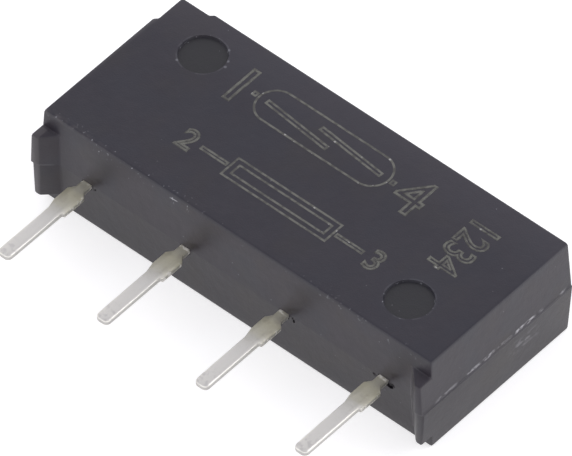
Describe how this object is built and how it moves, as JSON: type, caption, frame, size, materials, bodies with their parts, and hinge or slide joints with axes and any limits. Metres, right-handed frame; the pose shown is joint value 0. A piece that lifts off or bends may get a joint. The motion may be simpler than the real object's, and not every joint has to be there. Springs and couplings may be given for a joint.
{
  "type": "pcb relay",
  "caption": "Slim moulded single-in-line reed relay with flat through-hole terminals along one long edge and two short stand-off feet.",
  "frame": {"origin": "middle of the flat back face, halfway along the body and halfway across it without the feet", "axes": "+X along the body from terminal 1 to terminal 4, -Y the way the terminals point, +Z out of the marked face"},
  "size_m": [0.0202, 0.0133, 0.0049],
  "materials": {
    "black_moulding": "satin, finely matt",
    "tinned_lead_frame": "satin tin plate, stained near the body",
    "nickel_iron": "satin",
    "capsule_glass": "clear green",
    "bobbin_plastic": "matt",
    "enamelled_copper": "glossy enamel over copper wire",
    "solder": "bright solder"
  },
  "bodies": {
    "relay": {"moulded_body": "black_moulding", "terminal_1": "tinned_lead_frame", "terminal_2": "tinned_lead_frame", "terminal_3": "tinned_lead_frame", "terminal_4": "tinned_lead_frame", "bobbin": "bobbin_plastic", "coil_winding": "enamelled_copper", "coil_start_wire": "enamelled_copper", "coil_finish_wire": "enamelled_copper", "solder_joint_2": "solder", "solder_joint_3": "solder", "glass_capsule": "capsule_glass", "reed_lead_1": "nickel_iron", "reed_lead_2": "nickel_iron"},
    "lower_reed": {"reed_blade_1": "nickel_iron"},
    "upper_reed": {"reed_blade_2": "nickel_iron"}
  },
  "joints": [
    {"name": "lower_reed_bend", "type": "hinge", "parent": "relay", "child": "lower_reed", "pos_m": [-0.00455, 0.0011, 0.00258], "axis": [0, -1, 0], "range_deg": [0, 0.55], "stiffness_Nm_per_rad": 0.001},
    {"name": "upper_reed_bend", "type": "hinge", "parent": "relay", "child": "upper_reed", "pos_m": [0.00455, 0.0011, 0.00288], "axis": [0, -1, 0], "range_deg": [0, 0.55], "stiffness_Nm_per_rad": 0.001}
  ],
  "couplings": [
    {"joint": "upper_reed_bend", "follows": "lower_reed_bend", "ratio": 1}
  ]
}
